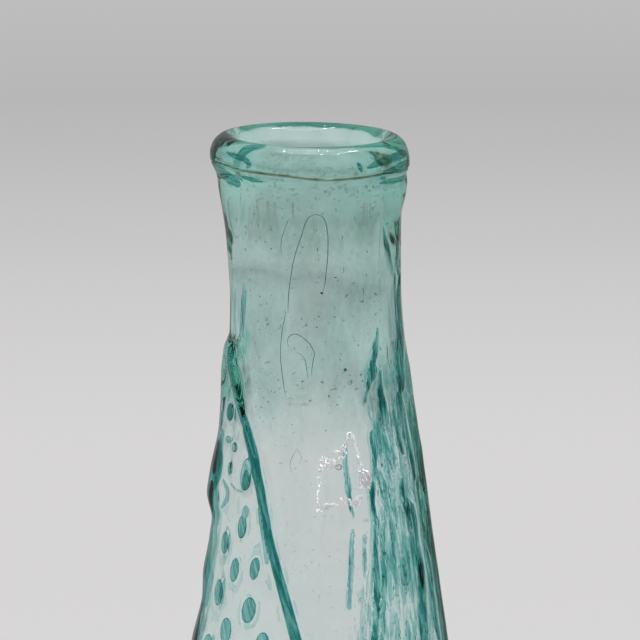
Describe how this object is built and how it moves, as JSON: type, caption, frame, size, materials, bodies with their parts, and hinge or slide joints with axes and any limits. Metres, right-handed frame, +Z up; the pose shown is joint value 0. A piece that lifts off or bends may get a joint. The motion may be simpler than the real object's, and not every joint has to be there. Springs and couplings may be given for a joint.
{
  "type": "cologne bottle",
  "caption": "Small blown and moulded aqua glass cologne bottle: thick rolled lip, short wide neck, and a body that widens to a dished base, with leaf relief on its sides.",
  "frame": {"origin": "middle of the base, on the surface the bottle stands on", "axes": "+Z up along the bottle, +X to the right as seen from the front, and the plain front panel faces -Y"},
  "size_m": [0.042, 0.042, 0.13],
  "materials": {
    "aqua_glass": "clear glossy blown glass with fine seeds and ripples"
  },
  "bodies": {
    "root": {"bottle": "aqua_glass"}
  },
  "joints": []
}
